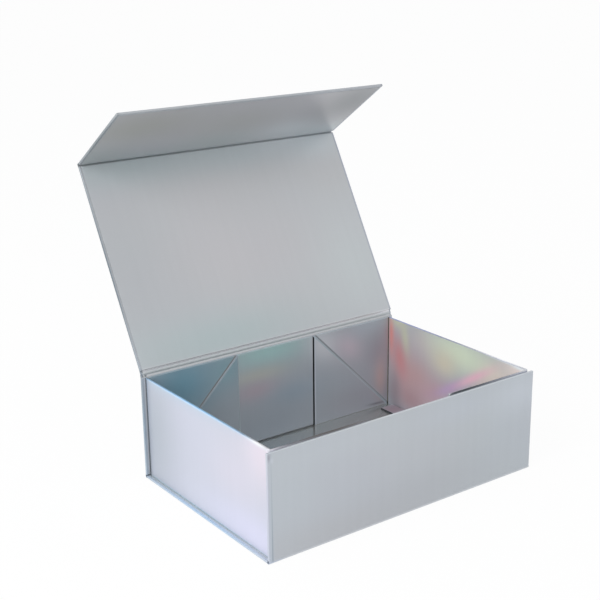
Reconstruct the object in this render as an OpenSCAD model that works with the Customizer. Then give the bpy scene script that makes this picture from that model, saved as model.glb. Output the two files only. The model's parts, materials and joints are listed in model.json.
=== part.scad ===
// Collapsible gift box with a hinged lid and a magnetic front flap.
// The case is a row of five boards (front, base, spine, lid, flap) in one paper wrap. The tray is a folding
// strip of wall boards glued into the case, and its tabs are taped behind the front wall.
// Millimetres. The origin is the centre of the underside, +X along the front, +Y towards the spine, +Z up.

/* [Case] */
// Outside width of the case, across the front
case_w = 310; // [250:1:400]
// Outside depth, from the front face to the back of the spine
case_d = 211; // [150:1:320]
// Outside height of the closed box
case_h = 107; // [70:1:135]
// Thickness of the greyboard in the case, with the glue on both faces
case_board_t = 2; // [1.5:0.1:3]
// Thickness of the wrap and lining paper
paper_t = 0.2; // [0.1:0.05:0.3]
// Thickness of the glue film on each face of a board, and between papers
glue_t = 0.02; // [0.01:0.01:0.04]
// Outside radius of the paper at the two bottom folds
bottom_fold_r = 1.4; // [1:0.1:2]
// Clearance between two case boards that stand at a right angle
fold_clear = 0.2; // [0.1:0.05:0.5]
// How far the wrap turns in over the inner face of a case board
turn_in = 16; // [10:1:25]
// Bare margin between a panel's edge and its lining
lining_inset = 2.5; // [1:0.5:5]

/* [Lid and flap] */
// How far the open lid leans back from upright, in degrees
lid_lean = 29.7; // [0:0.1:60]
// How far the flap is folded in from the plane of the lid, in degrees
flap_bend = 85.4; // [0:0.1:90]
// Gap between the closed flap and the front wall
flap_clear = 0.4; // [0.2:0.1:1]
// Gap between the closed flap's free edge and the table
flap_lift = 0.5; // [0.2:0.1:5]
// Radius of the pressed paper bead along a moving fold
bead_r = 0.5; // [0.4:0.05:0.8]
// Running gap round the bead
bead_clear = 0.1; // [0.05:0.05:0.2]

/* [Tray] */
// Thickness of the board in the tray walls, with the glue on both faces
tray_board_t = 1.5; // [1:0.1:2.5]
// How far the case stands out past each side wall
overhang = 4.2; // [2:0.1:8]
// Gap between the closed lid's lining and the tops of the side walls
lid_gap = 1.2; // [0.2:0.1:4]
// How far the front wall stops below the side walls
front_drop = 1.7; // [0.5:0.1:5]
// How far the front tabs stop below the side walls
tab_drop = 0.6; // [0.3:0.1:5]
// Length of each front tab
tab_l = 100; // [40:1:110]
// Width of the folding crease between the two boards of a gusset
crease_gap = 2; // [1.2:0.1:4]
// Width of the fold between the back panel and a gusset
back_fold_gap = 1.9; // [1:0.1:4]
// Extra width of a gusset past the height of the walls
gusset_ease = 0.8; // [0:0.1:5]
// Gap under the middle back panel
back_lift = 1.8; // [0.5:0.1:6]
// Width of the board strip that glues a side wall to the base
foot_w = 16.5; // [8:0.5:30]
// How far each foot stops short of the corners of the tray
foot_setback = 9; // [2:0.5:30]
// Width of the fold between a side wall and its foot
foot_fold_gap = 1; // [0.8:0.1:3]

/* [Fastening] */
// Diameter of each closing magnet
magnet_d = 12; // [6:0.5:18]
// Thickness of each closing magnet
magnet_t = 1.2; // [0.8:0.1:1.4]
// Distance between the centres of the two magnets of a pair
magnet_span = 190; // [60:1:210]
// Height of the magnets above the table when the box is closed
magnet_up = 26; // [15:1:45]
// Gap round a magnet in its pocket
magnet_clear = 0.1; // [0.05:0.05:0.3]
// Thickness of the double-sided tape behind the front wall
tape_t = 0.2; // [0.1:0.05:0.5]
// Height of each tape strip
tape_h = 20; // [10:1:40]
// How far a tape strip stops short of the ends of its tab
tape_margin = 8; // [2:1:15]

/* [Hidden] */
$fn = 48;
// Length by which a cut runs past the face that it opens
cut = 1;
// Depth of a case panel from its wrap's inner side to the face of its lining
lined_t = case_board_t + 2 * paper_t;
// Distance from a fold's axis to the edge of the board beside it
board_start = lined_t + paper_t + fold_clear;
board_w = case_w - 2 * paper_t;
// Half widths of the lining, and of its thicker middle that fills the window between the turn-ins
sheet_x = case_w / 2 - lining_inset;
window_x = case_w / 2 - turn_in - glue_t;
// Height of the lid's fold axis, and its place behind the centre
lid_axis_z = case_h - paper_t;
lid_axis_y = case_d / 2 - paper_t;
// Distance between the lid's fold and the flap's fold, so that the closed flap clears the front wall
lid_l = case_d - paper_t + lined_t + flap_clear;
lid_board_l = lid_l - 2 * board_start;
flap_board_l = lid_axis_z - flap_lift - paper_t - board_start;
base_board_l = case_d - 2 * paper_t - 2 * board_start;
spine_board_l = lid_axis_z - paper_t - 2 * board_start;
// Levels of the tray: the face of the base lining, and the tops of the walls
tray_z = paper_t + lined_t + glue_t;
wall_top = lid_axis_z - lined_t - lid_gap;
wall_h = wall_top - tray_z;
front_top = wall_top - front_drop;
front_board_l = front_top - 2 * paper_t - board_start;
tab_top = wall_top - tab_drop;
// Plan of the tray: wall thickness, half widths outside and inside, and its front and back faces
wall_t = tray_board_t + 2 * paper_t;
tray_x = case_w / 2 - overhang;
inner_x = tray_x - wall_t;
tray_back = case_d / 2 - lined_t - glue_t;
inner_back = tray_back - wall_t;
tray_front = -case_d / 2 + paper_t + lined_t + tape_t;
inner_front = tray_front + wall_t;
tab_end = inner_x - paper_t - tab_l;
// A gusset folds on a 45 degree crease that starts in the bottom corner: x + z is constant along it
crease_sum = inner_x + tray_z;
gusset_edge = inner_x - wall_h - gusset_ease;
back_half = gusset_edge - back_fold_gap;
foot_out = inner_x - foot_fold_gap;
foot_in = foot_out - foot_w;
magnet_on_flap = lid_axis_z - magnet_up;
magnet_on_front = magnet_up - paper_t;

CASE_PAPER = [0.76, 0.78, 0.83];
LINING_PAPER = [0.62, 0.65, 0.69];
GREYBOARD = [0.55, 0.53, 0.50];
NICKEL = [0.72, 0.72, 0.70];
TAPE = [0.88, 0.88, 0.84];

// Places of the five case panels. In each panel's own frame the fold's axis is the X axis, the panel runs
// along +Y, and its outer face looks along +Z with the wrap's inner side at height 0.
module at_base() {
    translate([0, -case_d / 2 + paper_t, paper_t]) rotate([0, 180, 0]) children();
}

module at_front() {
    translate([0, -case_d / 2 + paper_t, paper_t]) rotate([90, 0, 0]) children();
}

module at_spine() {
    translate([0, lid_axis_y, lid_axis_z]) rotate([-90, 0, 0]) children();
}

module at_lid() {
    translate([0, lid_axis_y, lid_axis_z]) rotate([-90 - lid_lean, 0, 0]) rotate([0, 0, 180]) children();
}

module at_flap() {
    at_lid() translate([0, lid_l, 0]) rotate([-flap_bend, 0, 0]) children();
}

// A box from one corner to the opposite one
module block(from, to) {
    translate(from) cube(to - from);
}

// Greyboard of a case panel, inside its glue
module case_board(length) {
    block(
        [-board_w / 2 + glue_t, board_start + glue_t, -case_board_t + glue_t],
        [board_w / 2 - glue_t, board_start + length - glue_t, -glue_t]
    );
}

// Wrap of a case panel: the outer face, the turned edges and the turn-ins on the inner face. A free end is
// turned over too, and a folded end stays open.
module case_wrap(length, skin_from, skin_to, free_end) {
    far = board_start + length;
    edge = free_end ? paper_t : 0;
    window_end = free_end ? far + paper_t - turn_in : far + cut;
    board_end = free_end ? far : far + cut;
    block([-case_w / 2, skin_from, 0], [case_w / 2, skin_to, paper_t]);
    difference() {
        block([-case_w / 2, board_start, -case_board_t - paper_t], [case_w / 2, far + edge, paper_t / 2]);
        block([-board_w / 2, board_start - cut, -case_board_t], [board_w / 2, board_end, 0]);
        block(
            [-case_w / 2 + turn_in, board_start - cut, -case_board_t - paper_t - cut],
            [case_w / 2 - turn_in, window_end, -case_board_t + cut / 2]
        );
    }
}

// Lining of a case panel: it fills the window between the turn-ins and covers them up to the bare margin
module case_lining(length, free_end) {
    far = board_start + length;
    window_end = free_end ? far + paper_t - turn_in - glue_t : far;
    sheet_end = free_end ? far + paper_t - lining_inset : far;
    block([-window_x, board_start, -case_board_t - 1.5 * paper_t], [window_x, window_end, -case_board_t]);
    block([-sheet_x, board_start, -lined_t], [sheet_x, sheet_end, -lined_t + paper_t - glue_t]);
}

// Lining pressed into a fold: down over the edge of the board and along the wrap as far as the fold's axis
module lining_in_fold(stop) {
    block([-sheet_x, board_start - paper_t, -lined_t], [sheet_x, board_start - glue_t, -glue_t]);
    block([-sheet_x, board_start - paper_t, -lined_t], [sheet_x, board_start, -lined_t + paper_t - glue_t]);
    block([-window_x, board_start - paper_t, -lined_t], [window_x, board_start, -case_board_t]);
    block([-sheet_x, stop, -paper_t], [sheet_x, board_start - glue_t, -glue_t]);
}

// The same at the far end of a panel
module lining_in_far_fold(far_axis, stop) {
    translate([0, far_axis, 0]) mirror([0, 1, 0]) lining_in_fold(stop);
}

// Round bead of pressed paper along a moving fold
module fold_bead() {
    translate([-case_w / 2, 0, 0]) rotate([0, 90, 0]) cylinder(r = bead_r, h = case_w);
}

// Paper round a bottom fold, as a quarter ring from the underside up to the wall's face
module bottom_fold() {
    rotate([90, 0, 90]) linear_extrude(case_w, center = true) intersection() {
        translate([bottom_fold_r, bottom_fold_r]) difference() {
            circle(r = bottom_fold_r);
            circle(r = bottom_fold_r - paper_t);
        }
        square(bottom_fold_r);
    }
}

// A magnet of a panel, or with extra its pocket, at a distance along the panel from the fold's axis
module magnet_at(side, along, depth_from, depth, extra = 0) {
    translate([side * magnet_span / 2, along, depth_from]) cylinder(d = magnet_d + 2 * extra, h = depth);
}

// A rectangle with round corners
module soft_rect(from, to, r) {
    block_2d(from + [r, 0], to - [r, 0]);
    block_2d(from + [0, r], to - [0, r]);
    for (x = [from[0] + r, to[0] - r], y = [from[1] + r, to[1] - r]) translate([x, y]) circle(r = r);
}

module block_2d(from, to) {
    translate(from) square(to - from);
}

// Walls of the tray raised from a plan of their outside, with the lower tabs, the gap under the back panel
// and the feet
module tray_from_plan(bottom, top_drop) {
    difference() {
        translate([0, 0, bottom]) linear_extrude(wall_top - top_drop - bottom) difference() {
            children();
            block_2d([-inner_x, inner_front], [inner_x, inner_back]);
        }
        block(
            [-tray_x, tray_front - cut, tab_top - top_drop],
            [tray_x, inner_front, wall_top + cut]
        );
        block(
            [-back_half - paper_t, inner_back - cut, tray_z - cut],
            [back_half + paper_t, tray_back + cut, tray_z + back_lift]
        );
    }
    for (side = [0, 1]) mirror([side, 0, 0]) block(
        [foot_in, inner_front + foot_setback, bottom],
        [inner_x, inner_back - foot_setback, tray_z + wall_t]
    );
}

// Gap between the free ends of the two front tabs
module tab_opening(end) {
    block_2d([-end, tray_front - cut], [end, inner_front + cut]);
}

// Boards of the tray on its right-hand side; the left ones mirror them. With glue 0 each is the room between
// its papers, and with the glue film it is the board itself.
module wall_board(glue) {
    block(
        [inner_x + paper_t + glue, inner_front + paper_t + glue, tray_z + paper_t + glue],
        [tray_x - paper_t - glue, inner_back - paper_t - glue, wall_top - paper_t - glue]
    );
}

module foot_board(glue) {
    block(
        [foot_in + paper_t + glue, inner_front + foot_setback + paper_t + glue, tray_z + paper_t + glue],
        [foot_out - glue, inner_back - foot_setback - paper_t - glue, tray_z + paper_t + tray_board_t - glue]
    );
}

module tab_board(glue) {
    block(
        [tab_end + paper_t + glue, tray_front + paper_t + glue, tray_z],
        [inner_x - paper_t - glue, inner_front - paper_t - glue, tab_top - paper_t - glue]
    );
}

module back_panel_board(glue) {
    block(
        [-back_half + glue, inner_back + paper_t + glue, tray_z + back_lift],
        [back_half - glue, tray_back - paper_t - glue, wall_top - paper_t - glue]
    );
}

// Upright plate of the back wall, extruded from an outline in X and Z
module back_plate(from_y, to_y) {
    translate([0, to_y, 0]) rotate([90, 0, 0]) linear_extrude(to_y - from_y) children();
}

// All that lies past a gap on one side of the crease, in X and Z: way is 1 for outwards and -1 for inwards
module beside_crease(gap, way) {
    reach = case_w;
    foot = crease_sum + way * gap;
    polygon([[foot + reach, -reach], [foot - reach, reach], [foot + way * reach, way * reach]]);
}

// A gusset board: way is 1 for the outer triangle and -1 for the inner one
module gusset_board(way, glue) {
    back_plate(inner_back + paper_t + glue, tray_back - paper_t - glue) intersection() {
        block_2d([gusset_edge + glue, tray_z], [inner_x - paper_t - glue, wall_top - paper_t - glue]);
        beside_crease((crease_gap / 2 + glue) * sqrt(2), way);
    }
}

// Grooves pressed into the inner face of the back wall: the crease of a gusset and its fold to the back panel
module back_grooves() {
    back_plate(inner_back - cut, tray_back - 2 * paper_t) {
        difference() {
            block_2d([gusset_edge + paper_t, tray_z - cut], [inner_x, wall_top + cut]);
            for (way = [-1, 1]) beside_crease((crease_gap / 2 - paper_t) * sqrt(2), way);
        }
        block_2d([back_half + paper_t, tray_z - cut], [gusset_edge - paper_t, wall_top + cut]);
    }
}

// Hollow channel between the wrap and the lining at a folded corner of the tray
module corner_channel(y, way) {
    translate([inner_x, y, tray_z - cut]) linear_extrude(wall_h + 2 * cut) intersection() {
        difference() {
            circle(r = wall_t - paper_t);
            circle(r = paper_t);
        }
        mirror([0, way < 0 ? 1 : 0]) square(wall_t);
    }
}

// Everything that the paper of the tray leaves free on the right-hand side
module tray_hollows() {
    wall_board(0);
    foot_board(0);
    tab_board(0);
    for (way = [-1, 1]) gusset_board(way, 0);
    back_grooves();
    corner_channel(inner_back, 1);
    corner_channel(inner_front, -1);
    block(
        [foot_out + paper_t, inner_front + foot_setback - cut, tray_z + 2 * paper_t],
        [inner_x, inner_back - foot_setback + cut, tray_z + wall_t + cut]
    );
}

// Wrap and lining of the tray together
module tray_papers() {
    difference() {
        tray_from_plan(tray_z, 0) difference() {
            soft_rect([-tray_x, tray_front], [tray_x, tray_back], wall_t);
            tab_opening(tab_end);
        }
        back_panel_board(0);
        for (side = [0, 1]) mirror([side, 0, 0]) tray_hollows();
    }
}

// The room that the lining takes: inside the wrap, and below the edge that the wrap turns over
module lining_room(glue) {
    skin = paper_t + glue;
    tray_from_plan(tray_z + skin, lining_inset + glue) difference() {
        union() {
            block_2d([-tray_x + skin, inner_front], [tray_x - skin, inner_back]);
            block_2d([-inner_x, tray_front + skin], [inner_x, tray_back - skin]);
            block_2d([-inner_x - paper_t, inner_front - paper_t], [inner_x + paper_t, inner_back + paper_t]);
        }
        tab_opening(tab_end + skin);
    }
}

module base_board() {
    color(GREYBOARD) at_base() case_board(base_board_l);
}

module front_board() {
    color(GREYBOARD) at_front() difference() {
        case_board(front_board_l);
        for (side = [-1, 1])
            magnet_at(side, magnet_on_front, -magnet_t - glue_t, magnet_t + cut, magnet_clear);
    }
}

module spine_board() {
    color(GREYBOARD) at_spine() case_board(spine_board_l);
}

module lid_board() {
    color(GREYBOARD) at_lid() case_board(lid_board_l);
}

module flap_board() {
    color(GREYBOARD) at_flap() difference() {
        case_board(flap_board_l);
        for (side = [-1, 1])
            magnet_at(side, magnet_on_flap, -case_board_t - cut, magnet_t + glue_t + cut, magnet_clear);
    }
}

module base_wrap() {
    color(CASE_PAPER) {
        at_base() case_wrap(base_board_l, bottom_fold_r - paper_t, case_d - paper_t - bottom_fold_r, false);
        for (side = [0, 1]) mirror([0, side, 0]) translate([0, -case_d / 2, 0]) bottom_fold();
    }
}

module front_wrap() {
    color(CASE_PAPER) at_front()
        case_wrap(front_board_l, bottom_fold_r - paper_t, board_start + front_board_l + paper_t, true);
}

module spine_wrap() {
    color(CASE_PAPER) at_spine() {
        case_wrap(spine_board_l, 0, lid_axis_z - bottom_fold_r, false);
        fold_bead();
    }
}

module lid_wrap() {
    color(CASE_PAPER) at_lid() {
        case_wrap(lid_board_l, bead_r + bead_clear, lid_l, false);
        translate([0, lid_l, 0]) fold_bead();
    }
}

module flap_wrap() {
    color(CASE_PAPER) at_flap()
        case_wrap(flap_board_l, bead_r + bead_clear, board_start + flap_board_l + paper_t, true);
}

module base_lining() {
    color(LINING_PAPER) at_base() case_lining(base_board_l, false);
}

module front_lining() {
    color(LINING_PAPER) at_front() case_lining(front_board_l, true);
}

module spine_lining() {
    color(LINING_PAPER) at_spine() intersection() {
        union() {
            case_lining(spine_board_l, false);
            lining_in_fold(bead_r);
        }
        block([-case_w / 2, 0, -lined_t + paper_t], [case_w / 2, lid_axis_z, 0]);
    }
}

module lid_lining() {
    color(LINING_PAPER) at_lid() {
        case_lining(lid_board_l, false);
        lining_in_fold(bead_r + bead_clear);
        lining_in_far_fold(lid_l, bead_r);
    }
}

module flap_lining() {
    color(LINING_PAPER) at_flap() {
        case_lining(flap_board_l, true);
        lining_in_fold(bead_r + bead_clear);
    }
}

module right_wall_board() {
    color(GREYBOARD) wall_board(glue_t);
}

module left_wall_board() {
    color(GREYBOARD) mirror([1, 0, 0]) wall_board(glue_t);
}

module right_foot_board() {
    color(GREYBOARD) foot_board(glue_t);
}

module left_foot_board() {
    color(GREYBOARD) mirror([1, 0, 0]) foot_board(glue_t);
}

module back_board() {
    color(GREYBOARD) back_panel_board(glue_t);
}

module right_outer_gusset_board() {
    color(GREYBOARD) gusset_board(1, glue_t);
}

module left_outer_gusset_board() {
    color(GREYBOARD) mirror([1, 0, 0]) gusset_board(1, glue_t);
}

module right_inner_gusset_board() {
    color(GREYBOARD) gusset_board(-1, glue_t);
}

module left_inner_gusset_board() {
    color(GREYBOARD) mirror([1, 0, 0]) gusset_board(-1, glue_t);
}

module right_tab_board() {
    color(GREYBOARD) tab_board(glue_t);
}

module left_tab_board() {
    color(GREYBOARD) mirror([1, 0, 0]) tab_board(glue_t);
}

module tray_wrap() {
    color(CASE_PAPER) difference() {
        tray_papers();
        lining_room(0);
    }
}

module tray_lining() {
    color(LINING_PAPER) intersection() {
        tray_papers();
        lining_room(glue_t);
    }
}

// Tape between the front wall's lining and a tab, half way up
module tab_tape() {
    middle = (tray_z + tab_top) / 2;
    color(TAPE) block(
        [tab_end + tape_margin, tray_front - tape_t + glue_t, middle - tape_h / 2],
        [inner_x - tape_margin, tray_front - glue_t, middle + tape_h / 2]
    );
}

module right_tab_tape() {
    tab_tape();
}

module left_tab_tape() {
    mirror([1, 0, 0]) tab_tape();
}

// A magnet in the front wall, in a pocket that opens under the wrap
module front_magnet(side) {
    color(NICKEL) at_front() magnet_at(side, magnet_on_front, -magnet_t, magnet_t - glue_t);
}

// A magnet in the flap, in a pocket that opens under the lining; the lid's frame has +X on its left
module flap_magnet(side) {
    color(NICKEL) at_flap() magnet_at(-side, magnet_on_flap, -case_board_t + glue_t, magnet_t - glue_t);
}

base_board();
front_board();
spine_board();
lid_board();
flap_board();
base_wrap();
front_wrap();
spine_wrap();
lid_wrap();
flap_wrap();
base_lining();
front_lining();
spine_lining();
lid_lining();
flap_lining();
left_wall_board();
right_wall_board();
left_foot_board();
right_foot_board();
back_board();
left_outer_gusset_board();
left_inner_gusset_board();
right_outer_gusset_board();
right_inner_gusset_board();
left_tab_board();
right_tab_board();
tray_wrap();
tray_lining();
left_tab_tape();
right_tab_tape();
front_magnet(-1);  // left_front_magnet
front_magnet(1);  // right_front_magnet
flap_magnet(-1);  // left_flap_magnet
flap_magnet(1);  // right_flap_magnet
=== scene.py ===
import json
import math
from collections import namedtuple

import bmesh
import bpy
from mathutils import Matrix, Vector

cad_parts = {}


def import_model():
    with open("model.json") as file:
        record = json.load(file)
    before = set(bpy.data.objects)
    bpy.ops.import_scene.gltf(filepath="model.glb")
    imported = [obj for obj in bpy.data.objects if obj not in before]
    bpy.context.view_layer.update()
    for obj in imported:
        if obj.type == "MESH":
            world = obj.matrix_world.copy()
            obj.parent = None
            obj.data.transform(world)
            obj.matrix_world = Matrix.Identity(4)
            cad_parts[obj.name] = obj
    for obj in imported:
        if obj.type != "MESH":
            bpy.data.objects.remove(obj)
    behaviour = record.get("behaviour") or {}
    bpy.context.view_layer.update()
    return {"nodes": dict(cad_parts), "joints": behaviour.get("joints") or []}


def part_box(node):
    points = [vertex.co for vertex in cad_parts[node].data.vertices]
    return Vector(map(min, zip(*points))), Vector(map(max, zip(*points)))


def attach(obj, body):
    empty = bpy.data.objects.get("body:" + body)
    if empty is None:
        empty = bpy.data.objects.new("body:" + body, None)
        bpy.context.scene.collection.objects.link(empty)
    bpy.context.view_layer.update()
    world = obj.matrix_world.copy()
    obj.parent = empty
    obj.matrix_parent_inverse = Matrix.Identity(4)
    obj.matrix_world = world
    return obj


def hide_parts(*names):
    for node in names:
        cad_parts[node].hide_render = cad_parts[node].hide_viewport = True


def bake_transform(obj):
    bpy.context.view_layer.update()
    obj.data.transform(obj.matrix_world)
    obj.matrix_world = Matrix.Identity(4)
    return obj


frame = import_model()

MM = 0.001

# The box's paper and board
PAPER = 0.2 * MM
CASE_BOARD = 2.0 * MM
UNDER = -(CASE_BOARD + PAPER)      # face of a turn-in, from the wrap's inner side
LINED = -(CASE_BOARD + 2 * PAPER)  # face of a lining
MARGIN = 2.5 * MM                  # bare wrap round a lining
EDGE_R = 0.5 * MM                  # roundness of a wrapped edge
CORNER_R = 0.4 * MM                # roundness of a panel's corners, seen from its face
FOLD_GAP = 2.8 * MM                # from a fold's axis to the board beside it
BOTTOM_R = 1.4 * MM                # outside radius of the bottom folds
WALL_T = 1.9 * MM                  # a side wall: its board, wrap and turned edge
LINING_T = 0.9 * PAPER             # a lining where it is pressed into a fold
LINING_BACK = UNDER - 0.01 * MM    # back of a lining, just clear of the turn-ins
SETTLED = 0.3 * MM                 # from a round edge to a sheet's first flat line
HAIR = 0.05 * MM                   # keeps two faces apart, or sinks one into the other
CURVE_STEPS = 4                    # steps round a quarter of a curve

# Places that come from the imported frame
JOINTS = {joint["name"]: joint for joint in frame["joints"]}
LID_AXIS = Vector(JOINTS["lid_hinge"]["pos_m"]).yz
FLAP_AXIS = Vector(JOINTS["flap_hinge"]["pos_m"]).yz
LEAN = math.radians(JOINTS["lid_hinge"]["range_deg"][1] - 90)
BEND = math.radians(-JOINTS["flap_hinge"]["range_deg"][0])
CASE_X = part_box("base_wrap")[1].x
CASE_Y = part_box("base_wrap")[1].y - PAPER
FRONT_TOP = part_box("front_wrap")[1].z
TRAY_LOW, TRAY_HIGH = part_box("tray_wrap")
TRAY_X, TRAY_FRONT = TRAY_HIGH.x, TRAY_LOW.y
TRAY_BACK, WALL_TOP = TRAY_HIGH.y, TRAY_HIGH.z
TRAY_Z = TRAY_LOW.z
TAB_LOW, TAB_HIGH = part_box("right_tab_board")
TAB_END = TAB_LOW.x - PAPER
TAB_TOP = TAB_HIGH.z + PAPER
INNER_X = TRAY_X - WALL_T
INNER_FRONT, INNER_BACK = TRAY_FRONT + WALL_T, TRAY_BACK - WALL_T
FOOT_LOW, FOOT_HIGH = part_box("right_foot_board")

# Length of paper from the lid's fold to the other folds, along the case's sheet
SPINE_RUN = LID_AXIS.y - PAPER
BASE_RUN = 2 * CASE_Y
LID_RUN = (FLAP_AXIS - LID_AXIS).length
FLAP_LIFT = 0.5 * MM               # the shut flap stops this far above the floor
FLAP_LENGTH = LID_AXIS.y - FLAP_LIFT

Panel = namedtuple("Panel", "origin along out start way")
Row = namedtuple("Row", "outer inner low high run fold")
Spot = namedtuple("Spot", "u v reach_u reach_v colour strength turn", defaults=(1.0, 0))
Foil = namedtuple("Foil", "band turn start strength metal rough grain")


def side_panel(origin, along, out, start, way):
    """A case panel seen from its side, in Y and Z: its fold's axis, the way it runs and the way it faces."""
    return Panel(Vector(origin), Vector(along), Vector(out), start, way)


LID_ALONG = Vector((math.sin(LEAN), math.cos(LEAN)))
LID_OUT = Vector((math.cos(LEAN), -math.sin(LEAN)))
FLAP_ALONG = math.cos(BEND) * LID_ALONG - math.sin(BEND) * LID_OUT
FLAP_OUT = math.sin(BEND) * LID_ALONG + math.cos(BEND) * LID_OUT
FRONT = side_panel((-CASE_Y, PAPER), (0, 1), (-1, 0), -SPINE_RUN - BASE_RUN, -1)
BASE = side_panel((-CASE_Y, PAPER), (1, 0), (0, -1), -SPINE_RUN - BASE_RUN, 1)
SPINE = side_panel(LID_AXIS, (0, -1), (1, 0), 0, -1)
LID = side_panel(LID_AXIS, LID_ALONG, LID_OUT, 0, 1)
FLAP = side_panel(FLAP_AXIS, FLAP_ALONG, FLAP_OUT, LID_RUN, 1)


# Sheets and slabs

def at(panel, along, out):
    """A point of a case panel, in Y and Z."""
    return panel.origin + along * panel.along + out * panel.out


def case_row(panel, along, top, under, fold=0.0, half=CASE_X, under_along=None):
    """One line of paper across a case panel, with its outer and its inner point."""
    inner_along = along if under_along is None else under_along
    outer = at(panel, along, top)
    inner = at(panel, inner_along, under)
    return Row(
        Vector((0, outer.x, outer.y)),
        Vector((0, inner.x, inner.y)),
        -half,
        half,
        panel.start + panel.way * along,
        fold,
    )


def round_edge(radius):
    """A quarter round from its edge to its face: each line's angle, and how far it lies back and down."""
    angles = [math.radians(90 * (CURVE_STEPS - step) / CURVE_STEPS) for step in range(CURVE_STEPS + 1)]
    return [
        (angle, radius - radius * math.sin(angle), radius - radius * math.cos(angle))
        for angle in angles
    ]


def rounded_half(past):
    """Half width of a panel a little way in from its end, round at the corner."""
    reach = max(0.0, CORNER_R - past)
    return CASE_X - (CORNER_R - math.sqrt(max(0.0, CORNER_R ** 2 - reach ** 2)))


def free_end_rows(panel, end):
    """The round edge at the free end of a panel, from the end inwards."""
    rows = [
        case_row(panel, end - back, PAPER - drop, UNDER + drop, wear_and_light_at(angle, 0.5), rounded_half(back))
        for angle, back, drop in round_edge(EDGE_R)
    ]
    return rows + [case_row(panel, end - EDGE_R - SETTLED, PAPER, UNDER)]


def board_edge_rows(panel, edge, way):
    """From a board into the fold beside it: the inner side goes down over the board's edge."""
    steps = [
        (1.6, 1.6, UNDER),
        (0.5, 0.5, UNDER),
        (0.35, 0.15, UNDER + 0.15 * MM),
        (0.2, 0.0, UNDER + 0.5 * MM),
        (0.0, -0.02, -0.4 * MM),
        (-0.15, -0.1, -0.12 * MM),
        (-0.4, -0.4, 0.0),
    ]
    return [
        case_row(panel, edge - way * outer * MM, PAPER, under, under_along=edge - way * inner * MM)
        for outer, inner, under in steps
    ]


def bottom_fold_rows(middle, first_angle, run):
    """The paper round a bottom fold, about the middle of its curve."""
    rows = []
    for step in range(CURVE_STEPS * 2 + 1):
        angle = math.radians(first_angle + 90 * step / (CURVE_STEPS * 2))
        ray = Vector((0, math.cos(angle), math.sin(angle)))
        centre = Vector((0, *middle))
        rows.append(Row(
            centre + BOTTOM_R * ray,
            centre + (BOTTOM_R - PAPER) * ray,
            -CASE_X,
            CASE_X,
            run + step * 0.2 * MM,
            1.0,
        ))
    return rows


def wear_and_light_at(angle, flat):
    """Wear and painted edge light round an edge: all of it on the curve, and a share of it on the flat end.
    """
    return max(math.sin(2 * angle), flat if angle > math.radians(45) else 0.0)


def end_stations(radius, flat):
    """How a sheet's side edge is rounded: distance from the edge, inset of its faces, and its wear and
    painted edge light.
    """
    if radius == 0:
        return [(0.0, 0.0, 0.0)]
    rounds = [(back, drop, wear_and_light_at(angle, flat)) for angle, back, drop in round_edge(radius)]
    return rounds + [(radius + SETTLED, 0.0, 0.0)]


ROUND_SHARE = 0.46        # most of a sheet's thickness that the rounding of its side edge takes
SHARP = math.radians(50)  # edges that turn by more than this stay sharp


def new_form():
    """An empty bmesh with the map of its sheet and the mark of its folds and edges, for wear and painted
    edge light.
    """
    form = bmesh.new()
    return form, form.loops.layers.uv.new("sheet"), form.verts.layers.float.new("fold")


def new_object(name, data):
    """An object in the scene."""
    made = bpy.data.objects.new(name, data)
    bpy.context.scene.collection.objects.link(made)
    return made


def skin(outers, inners, face):
    """Faces over both sides of a sheet, its side edges and its two ends."""
    last, columns = len(outers) - 1, len(outers[0])
    for i in range(last):
        for j in range(columns - 1):
            face([outers[i][j], outers[i + 1][j], outers[i + 1][j + 1], outers[i][j + 1]], 0)
            face([inners[i][j], inners[i][j + 1], inners[i + 1][j + 1], inners[i + 1][j]], 1)
        for j in (0, columns - 1):
            face([outers[i][j], inners[i][j], inners[i + 1][j], outers[i + 1][j]], 0)
    for i in (0, last):
        for j in range(columns - 1):
            face([outers[i][j], outers[i][j + 1], inners[i][j + 1], inners[i][j]], 0)


def loft(name, rows, across, low_r, high_r, outer_stuff, inner_stuff=None, turned=False, flat=0.2):
    """A closed sheet through rows of paired points, run out along one axis with round side edges.

    turned swaps the map's directions, so that U is the way along the sheet and V the way across.
    flat is the wear and painted edge light of the flat ends between the round edges.
    """
    form, chart, wear_and_light = new_form()
    low_side = end_stations(low_r, flat)
    high_side = list(reversed(end_stations(high_r, flat)))
    across = Vector(across)
    outers, inners, places = [], [], {}

    for row in rows:
        thick = (row.outer - row.inner).length
        inward = (row.inner - row.outer).normalized()
        outer_line, inner_line = [], []
        for column, (gap, inset, worn_and_lit) in enumerate(low_side + high_side):
            low = column < len(low_side)
            radius = low_r if low else high_r
            inset = inset if radius == 0 else inset * min(1.0, ROUND_SHARE * thick / radius)
            reach = row.low + gap if low else row.high - gap
            for line, base, way in ((outer_line, row.outer, 1), (inner_line, row.inner, -1)):
                vert = form.verts.new(base + across * reach + inward * inset * way)
                vert[wear_and_light] = max(row.fold, worn_and_lit)
                places[vert] = (row.run, reach) if turned else (reach, row.run)
                line.append(vert)
        outers.append(outer_line)
        inners.append(inner_line)

    def face(corners, stuff):
        made = form.faces.new(corners)
        made.material_index = stuff
        made.smooth = True
        for loop in made.loops:
            loop[chart].uv = places[loop.vert]

    skin(outers, inners, face)
    bmesh.ops.recalc_face_normals(form, faces=form.faces)
    return finish_mesh(name, form, [outer_stuff, inner_stuff or outer_stuff])


def finish_mesh(name, form, stuffs):
    """Turns a bmesh into an object, smooth but for its sharp edges."""
    for edge in form.edges:
        if len(edge.link_faces) == 2 and edge.calc_face_angle() > SHARP:
            edge.smooth = False
    mesh = bpy.data.meshes.new(name)
    form.to_mesh(mesh)
    form.free()
    for stuff in stuffs:
        mesh.materials.append(stuff)
    piece = new_object(name, mesh)
    weighted = piece.modifiers.new("even_normals", "WEIGHTED_NORMAL")
    weighted.keep_sharp = True
    weighted.weight = 90
    return piece


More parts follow.
